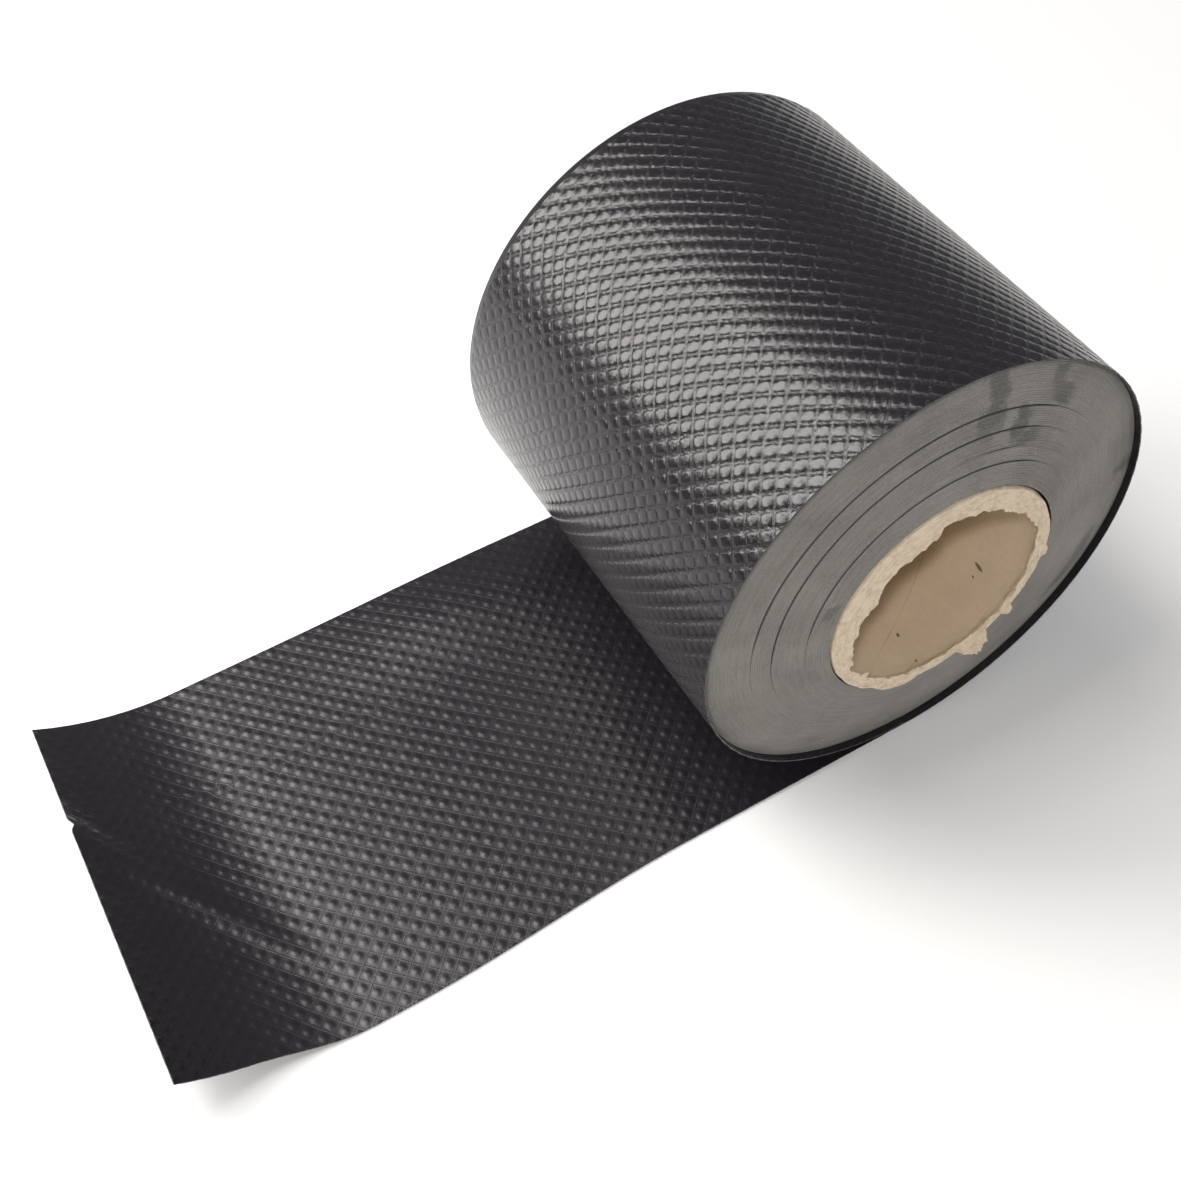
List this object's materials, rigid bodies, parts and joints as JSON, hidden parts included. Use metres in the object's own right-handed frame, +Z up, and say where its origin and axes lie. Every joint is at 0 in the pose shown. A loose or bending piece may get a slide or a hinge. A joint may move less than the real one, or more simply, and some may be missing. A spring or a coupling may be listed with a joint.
{
  "type": "roll of damp proof course",
  "caption": "Roll of embossed black polythene damp proof course on a cardboard core, with its loose end laid out flat for bedding in a wall.",
  "frame": {"origin": "on the floor, under the roll's axis, at the middle of the strip's nominal width", "axes": "+Z up, the roll's axis along Y with its showing end at -Y, the loose end running out along -X"},
  "size_m": [0.3467, 0.159, 0.164],
  "materials": {
    "polythene": "black polythene, embossed all over with small pillow-shaped cells, semi-gloss",
    "cardboard": "spiral-wound kraft board, matte, torn at its showing end"
  },
  "bodies": {
    "root": {"dpc_strip": "polythene", "core_tube": "cardboard"}
  },
  "joints": []
}
